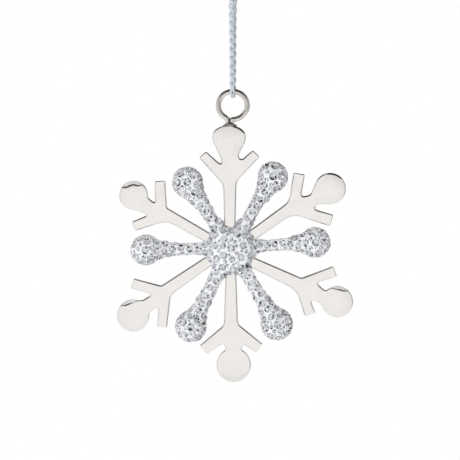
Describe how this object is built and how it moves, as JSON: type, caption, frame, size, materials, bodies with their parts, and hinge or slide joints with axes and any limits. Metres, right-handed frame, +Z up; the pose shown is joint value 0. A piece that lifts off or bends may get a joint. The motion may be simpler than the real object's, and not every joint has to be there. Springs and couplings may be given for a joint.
{
  "type": "hanging snowflake ornament",
  "caption": "Polished metal snowflake with forked arms and a crystal-covered star between them, hung by a wire ring from a knotted loop of metallic cord.",
  "frame": {"origin": "the hanging point: the inside top of the cord's loop, just under the knot, where a hook or a twig carries the ornament", "axes": "+Z up along the cord; the crystal-crowned front faces -Y; +X to the viewer's right"},
  "size_m": [0.1061, 0.0158, 0.23],
  "materials": {
    "nickel": "polished",
    "wire": "bright drawn wire",
    "solder": "dull grey solder",
    "brass": "raw, hidden inside",
    "putty": "silver-grey epoxy with fine glitter, set all over with crystals",
    "crystal": "foil-backed cut glass",
    "cord": "knitted metallic yarn"
  },
  "bodies": {
    "loop": {"cord_knot": "cord", "cord_tail_left": "cord", "cord_tail_right": "cord", "cord_loop_left": "cord", "cord_loop_right": "cord"},
    "cord": {"cord_strand_front": "cord", "cord_strand_back": "cord"},
    "bight": {"cord_bight": "cord"},
    "snowflake": {"hub_core": "brass", "hub_coat_front": "putty", "hub_coat_back": "putty", "crystal_hub": "crystal", "hanger_ring": "wire", "hanger_solder": "solder", "arm_top": "nickel", "arm_upper_right": "nickel", "arm_lower_right": "nickel", "arm_bottom": "nickel", "arm_lower_left": "nickel", "arm_upper_left": "nickel", "star_rod_upper_left": "brass", "star_ball_upper_left": "brass", "star_coat_upper_left": "putty", "crystal_upper_left": "crystal", "star_rod_upper_right": "brass", "star_ball_upper_right": "brass", "star_coat_upper_right": "putty", "crystal_upper_right": "crystal", "star_rod_right": "brass", "star_ball_right": "brass", "star_coat_right": "putty", "crystal_right": "crystal", "star_rod_lower_right": "brass", "star_ball_lower_right": "brass", "star_coat_lower_right": "putty", "crystal_lower_right": "crystal", "star_rod_lower_left": "brass", "star_ball_lower_left": "brass", "star_coat_lower_left": "putty", "crystal_lower_left": "crystal", "star_rod_left": "brass", "star_ball_left": "brass", "star_coat_left": "putty", "crystal_left": "crystal"}
  },
  "joints": [
    {"name": "cord_twist", "type": "hinge", "parent": "loop", "child": "cord", "pos_m": [0, 0, -0.013], "axis": [0, 0, 1], "range_deg": [-180, 180]},
    {"name": "ring_swing", "type": "hinge", "parent": "cord", "child": "bight", "pos_m": [0, 0, -0.0762], "axis": [1, 0, 0], "range_deg": [-90, 90], "deforming": ["cord_bight"]},
    {"name": "ring_sway", "type": "hinge", "parent": "bight", "child": "snowflake", "pos_m": [0, 0, -0.0825], "axis": [0, 1, 0], "range_deg": [-90, 90]}
  ]
}
